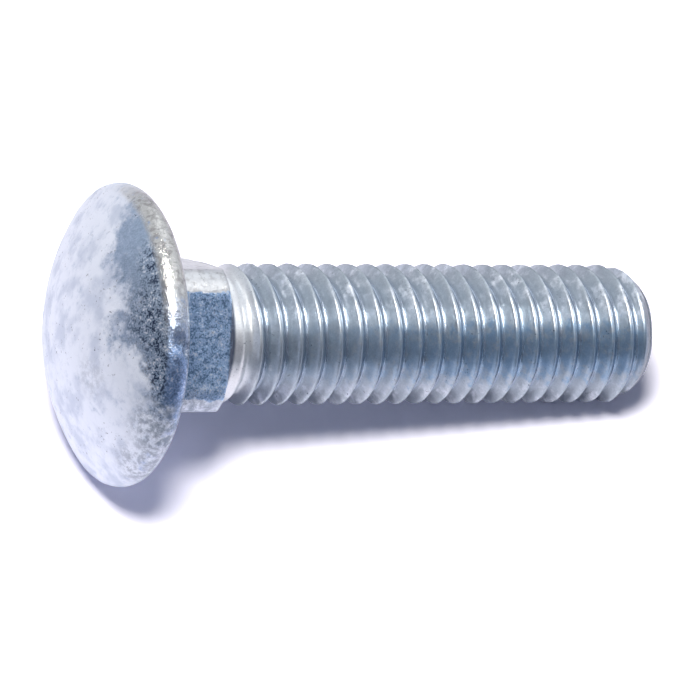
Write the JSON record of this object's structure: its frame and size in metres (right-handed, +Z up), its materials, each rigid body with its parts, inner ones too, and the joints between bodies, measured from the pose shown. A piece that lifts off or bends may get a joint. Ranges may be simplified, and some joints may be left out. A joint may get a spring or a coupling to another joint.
{
  "type": "carriage bolt",
  "caption": "Round-head square-neck carriage bolt in galvanised steel, threaded up to the neck, lying on the rim of its head and its thread.",
  "frame": {"origin": "centre of the bearing face under the head, on the bolt's axis", "axes": "+Z up from the surface that the bolt lies on; +X along that surface toward the tip, so the bolt's axis dips 8.4 degrees below +X; +Y by the right hand"},
  "size_m": [0.0569, 0.0268, 0.0266],
  "materials": {
    "galvanised_steel": "hot-dip zinc: pale blue-grey, mottled and frosted, gritty in places, with brighter rubbed crests"
  },
  "bodies": {
    "root": {"carriage_bolt": "galvanised_steel"}
  },
  "joints": []
}
